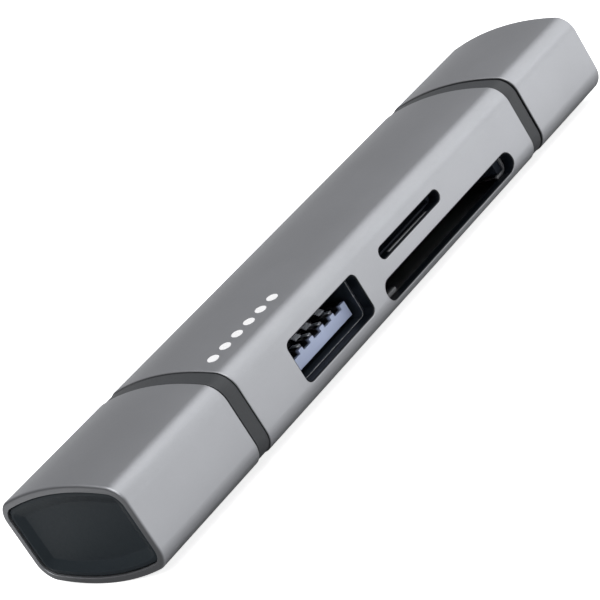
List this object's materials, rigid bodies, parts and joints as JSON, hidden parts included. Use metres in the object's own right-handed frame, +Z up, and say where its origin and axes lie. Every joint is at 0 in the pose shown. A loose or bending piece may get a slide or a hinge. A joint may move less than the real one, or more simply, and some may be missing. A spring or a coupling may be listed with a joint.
{
  "type": "usb hub and card reader",
  "caption": "Pocket USB hub and card reader: arched metal sleeve with USB, microSD and SD slots in one side, and a pull-off cap over the plug at each end.",
  "frame": {"origin": "under the middle of the hub, on the surface that it lies on", "axes": "+X along the hub from the USB-A end to the USB-C end, -Y out of the side with the ports and card slots, +Z up"},
  "size_m": [0.09, 0.02, 0.012],
  "materials": {
    "sleeve_aluminium": "fine blasted, grey anodised",
    "dark_plastic": "moulded, satin",
    "black_plastic": "moulded, satin",
    "steel": "bright nickel-plated sheet",
    "tongue_plastic": "pale blue moulded",
    "contact_gold": "gold-plated",
    "circuit_board": "solder-resist lacquer on glass-fibre laminate",
    "chip_black": "moulded epoxy",
    "ceramic": "fired ceramic with tinned ends"
  },
  "bodies": {
    "hub": {"body_sleeve": "sleeve_aluminium", "bulk_capacitor": "ceramic", "card_reader_controller": "chip_black", "crystal": "steel", "hub_controller": "chip_black", "main_board": "circuit_board", "microsd_contact_1": "contact_gold", "microsd_contact_2": "contact_gold", "microsd_contact_3": "contact_gold", "microsd_contact_4": "contact_gold", "microsd_contact_5": "contact_gold", "microsd_contact_6": "contact_gold", "microsd_contact_7": "contact_gold", "microsd_contact_8": "contact_gold", "microsd_socket_cover": "steel", "microsd_socket_frame": "black_plastic", "port_fascia": "black_plastic", "power_inductor": "chip_black", "sd_contact_1": "contact_gold", "sd_contact_2": "contact_gold", "sd_contact_3": "contact_gold", "sd_contact_4": "contact_gold", "sd_contact_5": "contact_gold", "sd_contact_6": "contact_gold", "sd_contact_7": "contact_gold", "sd_contact_8": "contact_gold", "sd_contact_9": "contact_gold", "sd_socket_cover": "steel", "sd_socket_frame": "black_plastic", "usb_a_collar": "dark_plastic", "usb_a_plug_contact_1": "contact_gold", "usb_a_plug_contact_2": "contact_gold", "usb_a_plug_contact_3": "contact_gold", "usb_a_plug_contact_4": "contact_gold", "usb_a_plug_fast_contact_1": "contact_gold", "usb_a_plug_fast_contact_2": "contact_gold", "usb_a_plug_fast_contact_3": "contact_gold", "usb_a_plug_fast_contact_4": "contact_gold", "usb_a_plug_fast_contact_5": "contact_gold", "usb_a_plug_insulator": "tongue_plastic", "usb_a_plug_shell": "steel", "usb_c_collar": "dark_plastic", "usb_c_plug_insulator": "black_plastic", "usb_c_plug_shell": "steel", "usb_port_contact_1": "contact_gold", "usb_port_contact_2": "contact_gold", "usb_port_contact_3": "contact_gold", "usb_port_contact_4": "contact_gold", "usb_port_fast_contact_1": "contact_gold", "usb_port_fast_contact_2": "contact_gold", "usb_port_fast_contact_3": "contact_gold", "usb_port_fast_contact_4": "contact_gold", "usb_port_fast_contact_5": "contact_gold", "usb_port_insulator": "tongue_plastic", "usb_port_shell": "steel", "voltage_regulator": "chip_black"},
    "usb_a_cap": {"usb_a_cap_shell": "sleeve_aluminium", "usb_a_cap_insert": "dark_plastic"},
    "usb_c_cap": {"usb_c_cap_shell": "sleeve_aluminium", "usb_c_cap_insert": "dark_plastic"}
  },
  "joints": [
    {"name": "usb_a_cap_slide", "type": "slide", "parent": "hub", "child": "usb_a_cap", "axis": [-1, 0, 0], "range_m": [0, 0.025]},
    {"name": "usb_c_cap_slide", "type": "slide", "parent": "hub", "child": "usb_c_cap", "axis": [1, 0, 0], "range_m": [0, 0.02]}
  ]
}
